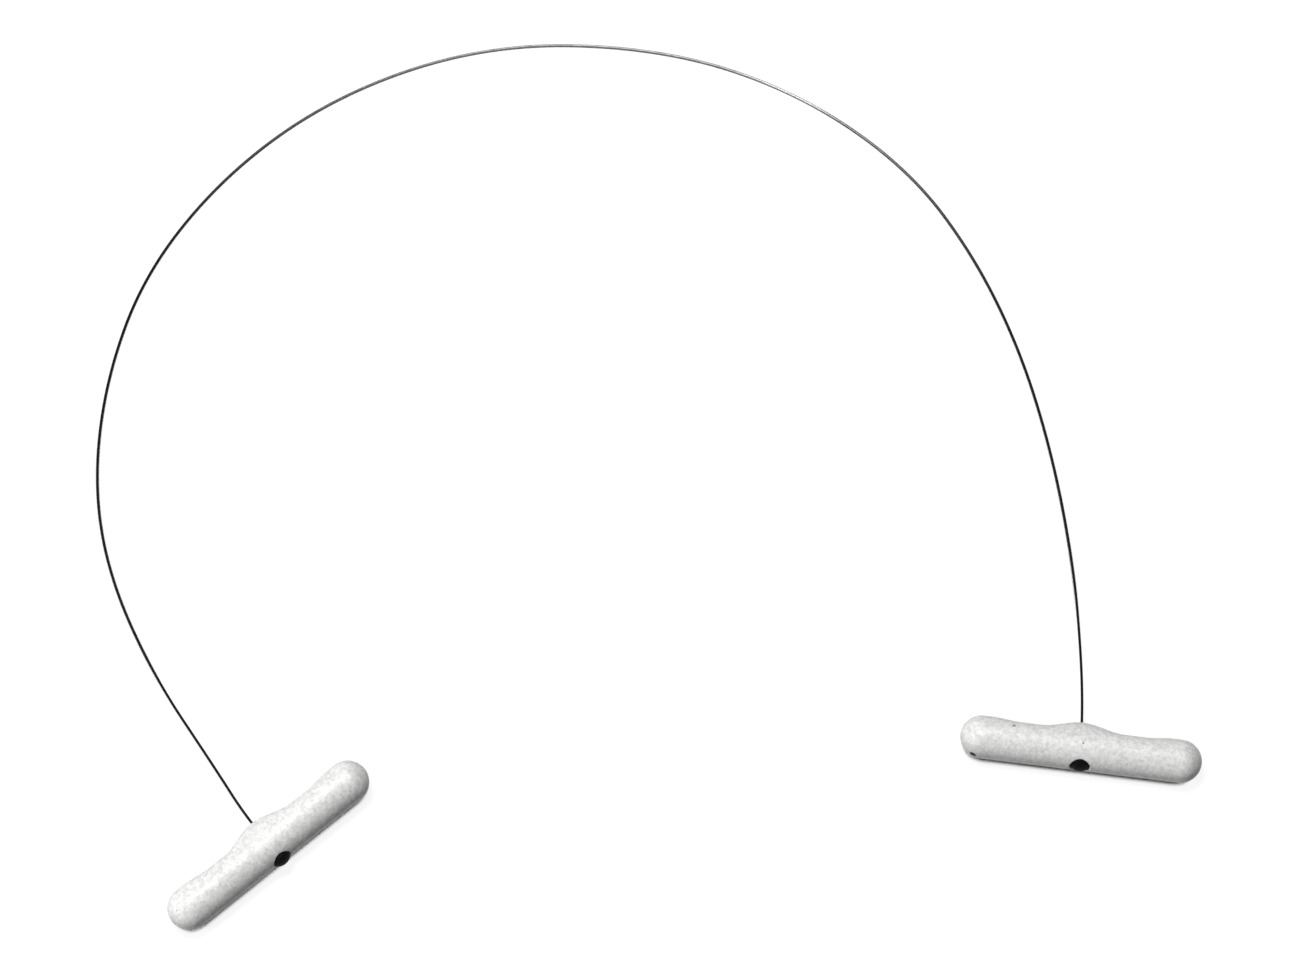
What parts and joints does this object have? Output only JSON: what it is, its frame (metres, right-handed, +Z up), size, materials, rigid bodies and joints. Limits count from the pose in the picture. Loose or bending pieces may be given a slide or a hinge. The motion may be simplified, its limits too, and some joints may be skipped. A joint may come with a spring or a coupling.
{
  "type": "clay cutter",
  "caption": "Hand tool for slicing clay: a springy steel wire anchored at each end in a round moulded toggle handle with a swelling at the wire and shallow finger waists.",
  "frame": {"origin": "on the surface that the cutter lies on, under the middle of the box round both handles", "axes": "+X towards the right handle, +Y towards the top of the wire's arc, +Z up"},
  "size_m": [0.3283, 0.3018, 0.0126],
  "materials": {
    "handle_plastic": "off-white moulding with a fine matt grain",
    "plug_plastic": "black, smooth",
    "stop_metal": "crimped, dull",
    "wire_steel": "dark drawn spring wire"
  },
  "bodies": {
    "wire": {"cutting_wire": "wire_steel", "left_wire_stop": "stop_metal", "right_wire_stop": "stop_metal"},
    "left_toggle": {"left_handle": "handle_plastic", "left_end_plug": "plug_plastic"},
    "right_toggle": {"right_handle": "handle_plastic", "right_end_plug": "plug_plastic"}
  },
  "joints": [
    {"name": "left_swivel", "type": "hinge", "parent": "wire", "child": "left_toggle", "pos_m": [-0.1203, -0.007, 0.00625], "axis": [-0.6596, 0.7508, -0.0349], "continuous": true},
    {"name": "right_swivel", "type": "hinge", "parent": "wire", "child": "right_toggle", "pos_m": [0.1134, 0.0222, 0.00631], "axis": [0.1296, 0.9777, -0.165], "continuous": true}
  ]
}
